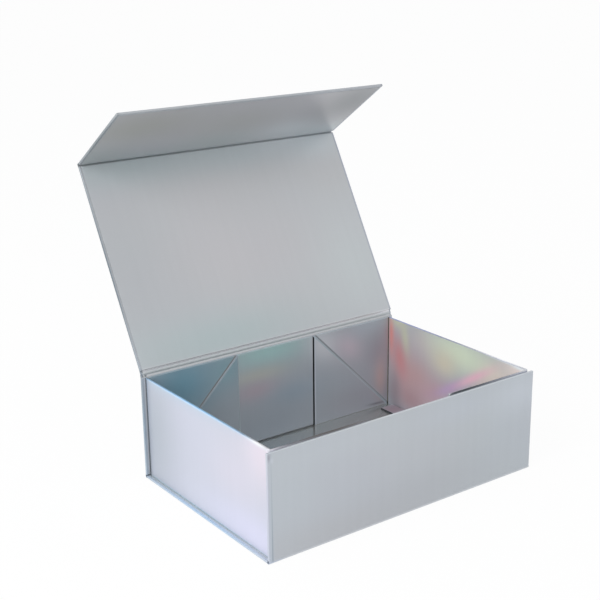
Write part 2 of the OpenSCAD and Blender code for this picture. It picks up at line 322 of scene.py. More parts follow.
def plate(name, outline, back, front, radius, stuff):
    """An upright plate with round front edges, from its outline in X and Z."""
    form, chart, wear_and_light = new_form()
    face = form.faces.new([form.verts.new((x, front, z)) for x, z in outline])
    grown = bmesh.ops.extrude_face_region(form, geom=[face])
    moved = [item for item in grown["geom"] if isinstance(item, bmesh.types.BMVert)]
    bmesh.ops.translate(form, verts=moved, vec=(0, back - front, 0))
    bmesh.ops.recalc_face_normals(form, faces=form.faces)
    near = 1e-6
    rim = [edge for edge in form.edges if all(abs(vert.co.y - front) < near for vert in edge.verts)]
    uprights = [
        edge for edge in form.edges
        if abs(edge.verts[0].co.y - edge.verts[1].co.y) > abs(front - back) / 2
    ]
    bmesh.ops.bevel(
        form, geom=rim + uprights, offset=radius, segments=CURVE_STEPS, profile=0.5,
        affect="EDGES", clamp_overlap=True,
    )
    for face in form.faces:
        face.smooth = True
    for vert in form.verts:
        inset = min(
            edge_distance(vert.co.x, vert.co.z, outline[i - 1], outline[i])
            for i in range(len(outline))
        )
        vert[wear_and_light] = 1.0 if inset < radius * 0.8 and vert.co.y < front + radius else 0.0
    for face in form.faces:
        for loop in face.loops:
            loop[chart].uv = loop.vert.co.xz
    return finish_mesh(name, form, [stuff])


def edge_distance(x, z, start, end):
    """How far a point of a plate lies from one side of its outline."""
    side = Vector(end) - Vector(start)
    return abs((Vector((x, z)) - Vector(start)).cross(side.normalized()))


# Shader groups

def new_group(name, inputs, outputs):
    """An empty shader group with named sockets, and its two end nodes."""
    group = bpy.data.node_groups.new(name, "ShaderNodeTree")
    for label, kind, value in inputs:
        socket = group.interface.new_socket(name=label, in_out="INPUT", socket_type=kind)
        if value is not None:
            socket.default_value = value
    for label, kind in outputs:
        group.interface.new_socket(name=label, in_out="OUTPUT", socket_type=kind)
    return group, group.nodes.new("NodeGroupInput"), group.nodes.new("NodeGroupOutput")


def plug(tree, node, values):
    """Gives each named or numbered input of a node its number, colour or link."""
    for socket, value in values.items():
        if isinstance(value, bpy.types.NodeSocket):
            tree.links.new(value, node.inputs[socket])
        else:
            node.inputs[socket].default_value = value
    return node


def add(tree, kind, values=None, **settings):
    """A new node, with its settings and its values."""
    made = tree.nodes.new("ShaderNode" + kind)
    for setting, value in settings.items():
        setattr(made, setting, value)
    return plug(tree, made, values or {})


def use(tree, group, values):
    """A group's node in a tree."""
    return add(tree, "Group", values, node_tree=group)


def maths(tree, operation, first, second=0.0, third=0.0):
    """The output of one Math node."""
    return add(tree, "Math", {0: first, 1: second, 2: third}, operation=operation).outputs[0]


def mix(tree, amount, first, second, blend="MIX"):
    """The colour output of one Mix node."""
    values = {0: amount, 6: first, 7: second}
    return add(tree, "Mix", values, data_type="RGBA", blend_type=blend).outputs[2]


def noise(tree, vector, scale, detail=2.0, rough=0.5, distortion=0.0):
    """A Noise node, with its Fac output."""
    values = {"Scale": scale, "Detail": detail, "Roughness": rough, "Distortion": distortion}
    return add(tree, "TexNoise", {"Vector": vector, **values}).outputs["Fac"]


def spot_group():
    """A soft oval patch on a sheet: 1 at its middle, fading with distance."""
    group, inner, outer = new_group(
        "soft_spot",
        [("Sheet", "NodeSocketVector", None), ("Middle", "NodeSocketVector", None),
         ("Reach", "NodeSocketVector", (0.05, 0.05, 1.0)), ("Turn", "NodeSocketFloat", 0.0)],
        [("Mask", "NodeSocketFloat")],
    )
    turned = add(
        group, "VectorRotate",
        {"Vector": inner.outputs["Sheet"], "Center": inner.outputs["Middle"],
         "Angle": inner.outputs["Turn"]},
        rotation_type="Z_AXIS",
    ).outputs[0]
    away = add(
        group, "VectorMath", {0: turned, 1: inner.outputs["Middle"]}, operation="SUBTRACT"
    ).outputs[0]
    share = add(
        group, "VectorMath", {0: away, 1: inner.outputs["Reach"]}, operation="DIVIDE"
    ).outputs[0]
    square = add(group, "VectorMath", {0: share, 1: share}, operation="DOT_PRODUCT").outputs["Value"]
    fade = maths(group, "EXPONENT", maths(group, "MULTIPLY", square, -1.0))
    group.links.new(fade, outer.inputs["Mask"])
    return group


def painted_sheen_group():
    """Painted rainbow sheen of the foil: faint bands of colour across a sheet."""
    group, inner, outer = new_group(
        "painted_rainbow_sheen",
        [("Sheet", "NodeSocketVector", None), ("Silver", "NodeSocketColor", (0.6, 0.6, 0.6, 1)),
         ("Band", "NodeSocketFloat", 0.3), ("Turn", "NodeSocketFloat", 0.0),
         ("Start", "NodeSocketFloat", 0.0), ("Strength", "NodeSocketFloat", 0.3)],
        [("Color", "NodeSocketColor")],
    )
    turned = add(
        group, "VectorRotate",
        {"Vector": inner.outputs["Sheet"], "Angle": inner.outputs["Turn"]},
        rotation_type="Z_AXIS",
    ).outputs[0]
    along = add(group, "SeparateXYZ", {0: turned}).outputs[0]
    drift = noise(group, inner.outputs["Sheet"], 7.0, 1.0)
    phase = maths(group, "DIVIDE", along, inner.outputs["Band"])
    phase = maths(group, "MULTIPLY_ADD", drift, 0.9, phase)
    phase = maths(group, "FRACT", maths(group, "ADD", phase, inner.outputs["Start"]))
    bands = add(group, "ValToRGB", {0: phase})
    tints = [
        (0.0, (1.0, 0.90, 0.95)), (0.16, (1.0, 0.97, 0.88)), (0.33, (0.93, 1.0, 0.90)),
        (0.5, (0.86, 0.98, 1.0)), (0.66, (0.87, 0.92, 1.0)), (0.83, (0.95, 0.90, 1.0)),
        (1.0, (1.0, 0.90, 0.95)),
    ]
    ramp = bands.color_ramp
    ramp.interpolation = "B_SPLINE"
    for _ in tints[2:]:
        ramp.elements.new(0.5)
    for element, (position, tint) in zip(ramp.elements, tints):
        element.position = position
        element.color = (*tint, 1)
    tinted = mix(
        group, inner.outputs["Strength"], inner.outputs["Silver"], bands.outputs[0], "MULTIPLY"
    )
    group.links.new(tinted, outer.inputs["Color"])
    return group


FIBRE_SCALE, FLECK_SCALE, WAVE_SCALE = 1500.0, 420.0, 16.0
FIBRE_HEIGHT, FLECK_HEIGHT, WAVE_HEIGHT = 1e-6, 2e-6, 9e-5  # in metres
STREAK_SCALE = (150.0, 7.0, 1.0)                            # narrow across the sheet, long along it
FLECK_TONE = 0.6


def grain_group():
    """The paper's own surface: fine fibres, drawn streaks of the foil and the board's slow waves."""
    group, inner, outer = new_group(
        "paper_grain",
        [("Sheet", "NodeSocketVector", None), ("Fibre", "NodeSocketFloat", 1.0),
         ("Streak", "NodeSocketFloat", 1.0), ("Wave", "NodeSocketFloat", 1.0)],
        [("Tone", "NodeSocketFloat"), ("Height", "NodeSocketFloat")],
    )
    sheet = inner.outputs["Sheet"]
    fibre = noise(group, sheet, FIBRE_SCALE)
    fleck = noise(group, sheet, FLECK_SCALE)
    drawn = add(group, "Mapping", {"Vector": sheet, "Scale": STREAK_SCALE}).outputs[0]
    streak = noise(group, drawn, 1.0)
    slow = noise(group, sheet, WAVE_SCALE, 1.0, 0.4)
    tone = maths(group, "MULTIPLY", maths(group, "SUBTRACT", fibre, 0.5), inner.outputs["Fibre"])
    tone = maths(
        group, "MULTIPLY_ADD", maths(group, "SUBTRACT", streak, 0.5), inner.outputs["Streak"], tone
    )
    tone = maths(group, "MULTIPLY_ADD", maths(group, "SUBTRACT", fleck, 0.5), FLECK_TONE, tone)
    group.links.new(tone, outer.inputs["Tone"])
    height = maths(group, "MULTIPLY", fibre, FIBRE_HEIGHT)
    height = maths(group, "MULTIPLY_ADD", fleck, FLECK_HEIGHT, height)
    wave = maths(group, "MULTIPLY", slow, inner.outputs["Wave"])
    height = maths(group, "MULTIPLY_ADD", wave, WAVE_HEIGHT, height)
    group.links.new(height, outer.inputs["Height"])
    return group


def fold_wear_and_light_group():
    """Colour of a fold or edge: wear and painted edge light and shade, going over to the edge tone and
    broken up by the grain.
    """
    group, inner, outer = new_group(
        "fold_wear_and_painted_light",
        [("Color", "NodeSocketColor", (0.6, 0.6, 0.6, 1)), ("Edge_Tone", "NodeSocketColor", (0.8, 0.8, 0.8, 1)),
         ("Fold", "NodeSocketFloat", 0.0), ("Sheet", "NodeSocketVector", None),
         ("Amount", "NodeSocketFloat", 0.6)],
        [("Color", "NodeSocketColor"), ("Mask", "NodeSocketFloat")],
    )
    broken = noise(group, inner.outputs["Sheet"], 160.0, 3.0, 0.6)
    patchy = maths(group, "MULTIPLY_ADD", broken, 0.9, 0.45)
    mask = maths(group, "MULTIPLY", inner.outputs["Fold"], patchy)
    mask = add(
        group, "Clamp", {0: maths(group, "MULTIPLY", mask, inner.outputs["Amount"])}
    ).outputs[0]
    group.links.new(mix(group, mask, inner.outputs["Color"], inner.outputs["Edge_Tone"]), outer.inputs["Color"])
    group.links.new(mask, outer.inputs["Mask"])
    return group


SOFT_SPOT = spot_group()
PAINTED_SHEEN = painted_sheen_group()
GRAIN = grain_group()
EDGE_WEAR_AND_LIGHT = fold_wear_and_light_group()


# Materials

def seen(red, green, blue):
    """A colour as it is seen, from 0 to 255, as the shader's own linear colour."""
    parts = []
    for part in (red, green, blue):
        share = part / 255
        parts.append(share / 12.92 if share <= 0.04045 else ((share + 0.055) / 1.055) ** 2.4)
    return (*parts, 1.0)


def empty_tree(block):
    """The node tree of a material or world, with nothing in it."""
    block.use_nodes = True
    block.node_tree.nodes.clear()
    return block.node_tree


def new_material(name):
    """A material with an empty tree but for its Principled shader and output."""
    stuff = bpy.data.materials.new(name)
    tree = empty_tree(stuff)
    shader = add(tree, "BsdfPrincipled")
    add(tree, "OutputMaterial", {"Surface": shader.outputs[0]})
    return stuff, tree, shader


def tinted(tree, sheet, colour, spots):
    """A colour with soft spots of tint laid over it."""
    for spot in spots:
        mask = use(tree, SOFT_SPOT, {
            "Sheet": sheet,
            "Middle": (spot.u * MM, spot.v * MM, 0),
            "Reach": (spot.reach_u * MM, spot.reach_v * MM, 1),
            "Turn": math.radians(-spot.turn),
        }).outputs["Mask"]
        amount = maths(tree, "MULTIPLY", mask, spot.strength)
        colour = mix(tree, amount, colour, seen(*spot.colour))
    return colour


EDGE_TONE_SHARE = 0.85    # how much of the foil's colour a fold or edge gives up to its edge tone: wear with painted light and shade
GLOSS_SWING = 0.06  # how far the grain changes the roughness
WORN_SHINE = 0.4    # how much more metallic a worn fold is


def foil_paper(name, silver, edge_tone, foil, spots, edge_light_and_shade=()):
    """Silver laminated paper: painted rainbow sheen, soft spots of painted light, shade and sheen, grain,
    and folds and edges in their edge tone, wear with painted light and shade.
    """
    stuff, tree, shader = new_material(name)
    sheet = add(tree, "UVMap", uv_map="sheet").outputs[0]
    colour = use(tree, PAINTED_SHEEN, {
        "Sheet": sheet, "Silver": silver, "Band": foil.band, "Turn": math.radians(foil.turn),
        "Start": foil.start, "Strength": foil.strength,
    }).outputs["Color"]
    colour = tinted(tree, sheet, colour, spots)
    texture = use(tree, GRAIN, {"Sheet": sheet, "Fibre": 1.0, "Streak": 1.0, "Wave": 1.0})
    tone = maths(tree, "MULTIPLY_ADD", texture.outputs["Tone"], foil.grain, 1.0)
    grey = add(tree, "CombineColor", {0: tone, 1: tone, 2: tone}).outputs[0]
    colour = mix(tree, 1.0, colour, grey, "MULTIPLY")
    fold = add(tree, "Attribute", attribute_name="fold").outputs["Fac"]
    worn_and_lit = use(tree, EDGE_WEAR_AND_LIGHT, {
        "Color": colour, "Edge_Tone": tinted(tree, sheet, edge_tone, edge_light_and_shade), "Fold": fold,
        "Sheet": sheet, "Amount": EDGE_TONE_SHARE,
    })
    bump = add(tree, "Bump", {"Height": texture.outputs["Height"], "Strength": 1.0, "Distance": 1.0})
    plug(tree, shader, {
        "Base Color": worn_and_lit.outputs["Color"],
        "Roughness": maths(tree, "MULTIPLY_ADD", texture.outputs["Tone"], GLOSS_SWING, foil.rough),
        "Metallic": maths(tree, "MULTIPLY_ADD", worn_and_lit.outputs["Mask"], WORN_SHINE, foil.metal),
        "Normal": bump.outputs[0],
    })
    return stuff


def greyboard():
    """Bare bookbinding board: grey pulp with pale and dark fibres."""
    stuff, tree, shader = new_material("grey_board")
    place = add(tree, "TexCoord").outputs["Object"]
    pulp = noise(tree, place, 260.0, 5.0, 0.65)
    fibre = noise(tree, place, 1400.0, 3.0, 0.6, 1.5)
    colour = mix(tree, pulp, seen(132, 127, 118), seen(166, 161, 150))
    fleck = add(tree, "MapRange", {0: fibre, 1: 0.62, 2: 0.72}).outputs[0]
    bump = add(tree, "Bump", {"Height": fibre, "Strength": 0.4, "Distance": 0.0001})
    plug(tree, shader, {
        "Base Color": mix(tree, maths(tree, "MULTIPLY", fleck, 0.5), colour, seen(92, 84, 72)),
        "Normal": bump.outputs[0],
        "Roughness": 0.9,
    })
    return stuff


def tape():
    """Milky double-sided tape."""
    stuff, tree, shader = new_material("white_tape")
    cloud = noise(tree, add(tree, "TexCoord").outputs["Object"], 90.0, 3.0)
    plug(tree, shader, {
        "Base Color": mix(tree, cloud, seen(214, 212, 202), seen(232, 231, 224)),
        "Roughness": maths(tree, "MULTIPLY_ADD", cloud, 0.2, 0.35),
    })
    return stuff


def nickel():
    """Nickel plating with fine scratches."""
    stuff, tree, shader = new_material("nickel_plate")
    place = add(tree, "TexCoord").outputs["Object"]
    drawn = add(tree, "Mapping", {"Vector": place, "Scale": (300.0, 4000.0, 300.0)}).outputs[0]
    scratch = noise(tree, drawn, 1.0)
    plug(tree, shader, {
        "Base Color": mix(tree, scratch, seen(170, 169, 164), seen(205, 203, 197)),
        "Roughness": maths(tree, "MULTIPLY_ADD", scratch, 0.2, 0.15),
        "Metallic": 1.0,
    })
    return stuff


def spots(*rows):
    """Soft patches of colour on the flat sheets: the foil's painted rainbow sheen, painted light and painted
    shade.

    Each row has the middle and the reach in mm, and the colour as it is seen. A weaker or slanting tint
    adds its strength and its slant in degrees.
    """
    return [Spot(*row) for row in rows]


# The front: painted sheen, with painted light near its top edge and painted shade towards the bottom.
FRONT_TINTS = spots(
    (-145, -380, 40, 60, (187, 194, 200), 0.7),
    (-80, -408, 90, 18, (190, 196, 202), 0.6),
    (60, -405, 50, 16, (188, 194, 203), 0.6),
    (140, -402, 40, 22, (198, 204, 212), 0.7),
    (-60, -325, 110, 20, (181, 183, 187), 0.8),
    (20, -338, 90, 26, (176, 180, 186), 0.6),
)
# The lid's lining: painted sheen, light and shade, darker along its left side.
LID_TINTS = spots(
    (0, 95, 170, 45, (190, 187, 191), 0.5),
    (-150, 110, 80, 130, (170, 174, 178), 0.65),
    (-100, 205, 90, 22, (175, 187, 190), 0.8),
    (20, 203, 80, 18, (187, 197, 201), 0.7),
    (124, 205, 50, 20, (198, 207, 212), 0.75),
    (-60, 16, 110, 28, (174, 188, 190), 0.8),
    (130, 60, 60, 70, (192, 199, 201), 0.7),
)
# The flap's lining: painted sheen, light and shade, with a patch of painted shade at its right end.
FLAP_TINTS = spots(
    (-150, 232, 40, 24, (170, 177, 178), 0.8),
    (-120, 288, 70, 34, (174, 175, 170), 0.85),
    (-10, 236, 50, 18, (182, 190, 191), 0.7),
    (0, 275, 60, 30, (180, 182, 180), 0.6),
    (90, 238, 50, 24, (206, 212, 216), 0.9),
    (136, 292, 46, 46, (148, 151, 155), 1.0, 10),
    (136, 226, 40, 14, (196, 204, 208), 0.8),
)
# The side walls' outer faces: painted sheen, darker towards the left wall's back end; painted highlights on
# its top edge and front corner, painted shade on the tabs' tops and in the gap at its back end, and a
# painted shadow line at its foot.
LEFT_WALL_TINTS = spots(
    (-160, 50, 42, 90, (170, 177, 187), 0.95),
    (-190, 105, 130, 9, (176, 193, 208), 0.6),
    (-300, 60, 40, 30, (204, 200, 213), 0.6),
    (-290, 15, 60, 18, (199, 202, 221), 0.6),
    (-335, 15, 50, 20, (206, 206, 228), 0.7),
    (-345, 95, 30, 30, (214, 205, 216), 0.9),
    (-230, 103.2, 110, 1.6, (178, 212, 240)),
    (-338, 103, 15, 2.2, (250, 252, 255)),
    (-415, 103, 60, 2.4, (104, 100, 98)),
    (435, 103, 50, 2.4, (46, 56, 60)),
    (-351.5, 48, 2.4, 80, (244, 240, 254)),
    (-240, 2.6, 130, 1.0, (150, 176, 196), 0.9),
    (-151, 50, 1.4, 80, (170, 176, 188), 0.8),
)
# The left gusset: painted shade from the left wall's shadow and painted sheen, with a light line along its
# shut fold.
LEFT_GUSSET_TINTS = spots(
    (-112, 86, 46, 40, (126, 167, 185)),
    (-60, 92, 22, 20, (142, 176, 186), 0.8),
    (-60, 30, 30, 30, (172, 180, 189), 0.9),
    (-47.2, 50, 0.6, 400, (178, 196, 202), 0.8),
)
# The back's middle panel: painted sheen, light and shade, a light line at its shut left fold and a
# near-black line of painted shade in its open right slot.
MIDDLE_PANEL_TINTS = spots(
    (-10, 100, 55, 18, (174, 207, 206)),
    (-24, 76, 34, 9, (192, 194, 186), 0.8),
    (-26, 60, 26, 11, (188, 172, 182), 0.8),
    (20, 46, 30, 14, (156, 172, 186), 0.8),
    (5, 20, 60, 24, (160, 169, 180), 0.8),
    (-47.2, 24, 0.6, 34, (196, 210, 214), 0.8),
    (45.7, 50, 0.35, 400, (20, 28, 34)),
)
# The right gusset: painted sheen and light, a light line beside its open slot, and painted shade in the slot
# and low by the side wall.
RIGHT_GUSSET_TINTS = spots(
    (60, 90, 24, 17, (210, 212, 218), 0.95, -30),
    (93, 82, 20, 14, (206, 194, 205), 0.8, -40),
    (122, 99, 28, 11, (184, 192, 203), 0.7),
    (132, 68, 16, 20, (162, 166, 178), 0.7),
    (138, 34, 9, 22, (206, 182, 180), 0.85),
    (95, 20, 40, 16, (167, 168, 177), 0.6),
    (133, 6.5, 12, 1.3, (108, 110, 120), 0.7, -3),
    (48.5, 46, 0.9, 60, (204, 208, 220), 0.85),
    (47.3, 50, 0.35, 400, (20, 28, 34)),
)
# The right wall's inner face: the foil's painted rainbow sheen and the painted glow of its diffracted light,
# painted highlights along its top near the front, and painted shade low at the back corner and on the tab.
RIGHT_WALL_TINTS = spots(
    (194, 48, 36, 34, (192, 158, 160), 0.95),
    (206, 88, 24, 20, (188, 172, 182), 0.85),
    (161, 20, 12, 30, (136, 134, 142), 0.9),
    (188, 20, 26, 15, (172, 140, 144), 0.8),
    (168, 62, 12, 26, (202, 140, 142), 0.9, 14),
    (153.5, 88, 4.5, 26, (222, 140, 134), 0.85),
    (164, 102, 12, 8, (200, 198, 178), 0.9),
    (176, 88, 6, 18, (200, 200, 172), 0.7, 12),
    (344, 98, 26, 20, (244, 228, 224)),
    (306, 84, 26, 13, (240, 208, 206), 0.9),
    (298, 70, 18, 8, (226, 184, 192), 0.6, 25),
    (262, 92, 56, 22, (219, 229, 206), 1.0, -4),
    (238, 76, 20, 16, (216, 206, 184), 0.8),
    (222, 38, 26, 14, (192, 158, 168), 0.85, 25),
    (249, 52, 26, 5.5, (186, 160, 196), 0.95, 31),
    (282, 73, 30, 5, (240, 190, 206), 0.9, 33),
    (425, 98, 40, 5, (60, 66, 72)),
    (328, 102.3, 24, 0.9, (228, 234, 238), 0.8),
    (344, 101.4, 10, 1.8, (244, 248, 250)),
)
# The right foot: a painted reflection of the pink wall on its top, and a line of painted shade along its
# inner edge.
FOOT_TINTS = spots(
    (740, 80, 30, 16, (164, 148, 158)),
    (731.4, 0, 0.4, 400, (44, 44, 48)),
)
# The base lining: a lighter patch of painted light.
BASE_TINTS = spots(
    (-40, -115, 60, 50, (206, 212, 213), 0.8),
)
# Near-black painted shade in the back's open right slot and at its two back corners.
FOLD_SLOT_SHADE = spots(
    (46, 55, 3.5, 300, (14, 22, 28)),
    (150, 55, 5, 300, (18, 24, 30)),
    (-150, 55, 5, 300, (18, 24, 30)),
)
# Painted light and shade on the two flanks of each gusset's crease.
CREASE_LIGHT_AND_SHADE = spots(
    (0, 2000.9, 400, 0.7, (136, 142, 149), 0.95),
    (0, 1999.0, 400, 0.7, (178, 194, 204), 0.95),
    (0, -1999.2, 400, 0.8, (142, 134, 134), 0.95),
    (0, -2001.0, 400, 0.7, (142, 158, 168), 0.95),
)
# Painted light, shade and sheen on the case's side edges, with a painted shadow line at the left wall's
# foot; painted shade on the spine's lining; painted light and shade on the linings' fold band; painted
# highlights and shade on the edges
CASE_SIDE_TINTS = spots(
    (-154.2, -212, 3, 110, (184, 203, 222), 0.95),
    (-151.1, -212, 0.55, 130, (84, 112, 132)),
    (-154.5, -50, 3, 50, (150, 166, 180), 0.9),
    (-155.5, -365, 2, 52, (190, 192, 206), 0.8),
    (-155.2, 105, 0.8, 120, (84, 96, 106)),
    (-153.2, 105, 1.3, 130, (150, 153, 157), 0.95),
    (-155, 270, 2.4, 66, (130, 138, 142), 0.9),
    (155, 150, 1.6, 200, (150, 158, 176), 0.8),
    (-153.2, -414.5, 1.4, 3.4, (150, 150, 164), 0.75),
    (-150.4, -411, 1.6, 2.2, (202, 206, 216), 0.6),
)
SPINE_EDGE_SHADE = spots(
    (-150.2, -50, 1.1, 400, (96, 104, 110)),
)
# Painted light on the lid's side of the lining's fold, and painted shade at its foot and on the spine's
# side.
FOLD_BAND_LIGHT_AND_SHADE = spots(
    (0, 2.4, 400, 1.2, (238, 238, 242)),
    (0, -0.6, 400, 1.1, (180, 186, 188)),
    (0, -2.7, 400, 1.1, (186, 189, 192), 0.9),
)
# Painted highlights and shade on the case's rounded edges, in place of their edge tone.
CASE_EDGE_LIGHT_AND_SHADE = spots(
    (-155, -212, 14, 110, (130, 170, 208)),
    (-155, -50, 14, 50, (170, 190, 206)),
    (-155, -365, 14, 50, (196, 198, 212)),
    (-155, 105, 14, 130, (84, 96, 106)),
    (-155, 270, 14, 66, (122, 131, 136)),
    (155, 150, 14, 200, (150, 158, 178)),
    (0, 320, 400, 6, (148, 150, 153)),
)
# Painted highlights and shade on the tray's top edges and corners, in place of their edge tone.
TRAY_EDGE_LIGHT_AND_SHADE = spots(
    (-230, 103, 100, 40, (150, 198, 236)),
    (-351, 50, 12, 90, (244, 238, 250)),
    (-338, 104, 15, 22, (252, 253, 255)),
    (-415, 103, 60, 20, (92, 88, 86)),
    (175, 103, 70, 40, (130, 142, 200), 0.9),
    (320, 103, 40, 30, (245, 246, 250)),
    (432, 103, 46, 20, (36, 46, 50)),
    (451, 103, 2.5, 20, (214, 216, 220)),
)
# Painted shade on the tray lining's edges: at the foot, in the open slot and along the top.
TRAY_LINING_EDGE_SHADE = spots(
    (731.4, 0, 0.5, 400, (56, 56, 60)),
    (47.3, 50, 0.35, 400, (20, 28, 34)),
    (45.7, 50, 0.35, 400, (20, 28, 34)),
    (0, 103.2, 300, 0.8, (150, 160, 166), 0.9),
)


# How each paper's foil looks: width, slant in degrees, start and strength of its painted rainbow sheen,
# then how metallic, rough and grainy it is
CASE_FOIL = Foil(0.42, 24, 0.35, 0.15, 0.3, 0.42, 0.045)
CASE_LINING_FOIL = Foil(0.5, 70, 0.1, 0.15, 0.35, 0.36, 0.045)
TRAY_FOIL = Foil(0.4, 30, 0.6, 0.15, 0.3, 0.4, 0.04)
TRAY_LINING_FOIL = Foil(0.25, 60, 0.0, 0.15, 0.2, 0.38, 0.045)
BASE_LINING_FOIL = Foil(0.3, 20, 0.3, 0.15, 0.85, 0.2, 0.03)
CREASE_FOIL = Foil(0.25, 60, 0.0, 0.1, 0.15, 0.42, 0.04)


def case_outside():
    """The wrap's outer face."""
    return foil_paper(
        "case_wrap_foil", seen(185, 190, 196), seen(205, 209, 214), CASE_FOIL,
        FRONT_TINTS + CASE_SIDE_TINTS, CASE_EDGE_LIGHT_AND_SHADE,
    )


def case_inside():
    """The lining on the case's inner faces."""
    return foil_paper(
        "case_lining_foil", seen(189, 190, 194), seen(204, 206, 210), CASE_LINING_FOIL,
        LID_TINTS + FLAP_TINTS + FOLD_BAND_LIGHT_AND_SHADE,
    )


def spine_inside():
    """The lining of the spine: a copy of the case's lining with painted shade along its side edges, beside
    the tray.
    """
    return foil_paper(
        "spine_lining_painted_shade_foil", seen(189, 190, 194), seen(204, 206, 210), CASE_LINING_FOIL,
        FOLD_BAND_LIGHT_AND_SHADE + SPINE_EDGE_SHADE,
    )


def tray_outside():
    """The wrap on the outer faces and top edges of the tray."""
    return foil_paper(
        "tray_wrap_foil", seen(193, 195, 208), seen(128, 134, 140), TRAY_FOIL,
        LEFT_WALL_TINTS, TRAY_EDGE_LIGHT_AND_SHADE,
    )


def tray_inside():
    """The lining on the inner faces of the tray."""
    return foil_paper(
        "tray_lining_foil", seen(174, 180, 189), seen(206, 214, 220), TRAY_LINING_FOIL,
        MIDDLE_PANEL_TINTS + RIGHT_GUSSET_TINTS + RIGHT_WALL_TINTS + FOOT_TINTS, TRAY_LINING_EDGE_SHADE,
    )


def left_gusset_inside():
    """The lining of the left gusset: a copy of the tray's lining with the left wall's shadow painted into
    its tints and its duller edge tone.
    """
    return foil_paper(
        "left_gusset_painted_shade_foil", seen(172, 180, 188), seen(176, 186, 192), TRAY_LINING_FOIL,
        LEFT_GUSSET_TINTS, TRAY_LINING_EDGE_SHADE,
    )


def base_inside():
    """The glossier lining of the base, which mirrors the walls."""
    return foil_paper(
        "base_lining_foil", seen(207, 211, 209), seen(200, 204, 208), BASE_LINING_FOIL, BASE_TINTS
    )


def fold_shade():
    """The tray's paper where it lies deep in the folds of the back wall, with near-black painted shade in
    the open right slot and at the back corners.
    """
    stuff, tree, shader = new_material("tray_fold_paper_painted_shade")
    sheet = add(tree, "UVMap", uv_map="sheet").outputs[0]
    texture = use(tree, GRAIN, {"Sheet": sheet, "Fibre": 1.0, "Streak": 0.5, "Wave": 0.0})
    cloud = noise(tree, sheet, 60.0)
    colour = mix(tree, cloud, seen(172, 156, 154), seen(186, 176, 174))
    plug(tree, shader, {
        "Base Color": tinted(tree, sheet, colour, FOLD_SLOT_SHADE),
        "Roughness": maths(tree, "MULTIPLY_ADD", texture.outputs["Tone"], 0.2, 0.5),
    })
    return stuff


def crease_shade():
    """The paper pressed into the gussets' creases, with its foil rubbed dull and painted light and shade on
    its two flanks.
    """
    return foil_paper(
        "gusset_crease_foil", seen(178, 182, 188), seen(190, 194, 198), CREASE_FOIL, CREASE_LIGHT_AND_SHADE
    )


# The case

ALONG_X = (1, 0, 0)
FOLD_SPLIT = 1.5 * MM     # where a panel's sheet meets the sheet of its fold
FOLD_STEPS = (1.5, 1.1, 0.8, 0.55, 0.35, 0.2)  # lines of paper beside a fold's axis, in mm
FOLD_REACH = 0.8 * MM     # how far each way from its axis a fold bends
FOLD_INNER_R = 0.45 * MM  # inner radius of the paper at the flap's fold
FOLD_LINE_WEAR_AND_LIGHT = 0.6           # wear and painted light of the paper beside a fold's axis


def case_wrap(stuff):
    """The wrap of the front, base and spine, with the two bottom folds."""
    low_fold = BOTTOM_R - PAPER
    rows = free_end_rows(FRONT, FRONT_TOP - PAPER)
    rows += board_edge_rows(FRONT, FOLD_GAP, -1)
    rows += bottom_fold_rows((-CASE_Y + low_fold, BOTTOM_R), 180, FRONT.start)
    rows += reversed(board_edge_rows(BASE, FOLD_GAP, -1))
    rows += board_edge_rows(BASE, BASE_RUN - FOLD_GAP, 1)
    rows += bottom_fold_rows((CASE_Y - low_fold, BOTTOM_R), 270, -SPINE_RUN)
    rows += reversed(board_edge_rows(SPINE, SPINE_RUN - FOLD_GAP, 1))
    rows += board_edge_rows(SPINE, FOLD_GAP, -1)
    rows.append(case_row(SPINE, FOLD_SPLIT, PAPER, 0.0))
    piece = loft("case_wrap_sheet", rows, ALONG_X, EDGE_R, EDGE_R, stuff)
    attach(piece, "tray")
    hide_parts("base_wrap", "front_wrap", "spine_wrap")
    return piece


def lid_wrap(stuff):
    """The wrap of the lid, from its fold on the spine to just before the flap's fold."""
    rows = [case_row(SPINE, step * MM, PAPER, 0.0, FOLD_LINE_WEAR_AND_LIGHT) for step in FOLD_STEPS]
    rows += [case_row(LID, step * MM, PAPER, 0.0, FOLD_LINE_WEAR_AND_LIGHT) for step in reversed(FOLD_STEPS)]
    rows += reversed(board_edge_rows(LID, FOLD_GAP, -1))
    rows += board_edge_rows(LID, LID_RUN - FOLD_GAP, 1)
    rows.append(case_row(LID, LID_RUN - FOLD_SPLIT, PAPER, 0.0))
    piece = loft("lid_wrap_sheet", rows, ALONG_X, EDGE_R, EDGE_R, stuff)
    bend_at_lid(piece)
    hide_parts("lid_wrap")
    return piece


def bend_at_lid(piece):
    """Bakes a sheet's placement into its mesh."""
    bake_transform(piece)


def bend_at_flap(piece):
    """Bakes a sheet's placement into its mesh."""
    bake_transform(piece)


def flap_fold_rows(radius_out, radius_in, half):
    """The paper's curve round the flap's fold, from the lid's face to the flap's."""
    reach = FOLD_INNER_R * math.tan(BEND / 2)
    middle = at(LID, LID_RUN - reach, -FOLD_INNER_R)
    rows = []
    for step in range(2 * CURVE_STEPS + 1):
        angle = BEND * step / (2 * CURVE_STEPS)
        ray = math.cos(angle) * LID_OUT + math.sin(angle) * LID_ALONG
        outer = middle + radius_out * ray
        inner = middle + radius_in * ray
        rows.append(Row(
            Vector((0, *outer)), Vector((0, *inner)), -half, half,
            LID_RUN + (step - CURVE_STEPS) * 0.1 * MM, 1.0,
        ))
    return rows


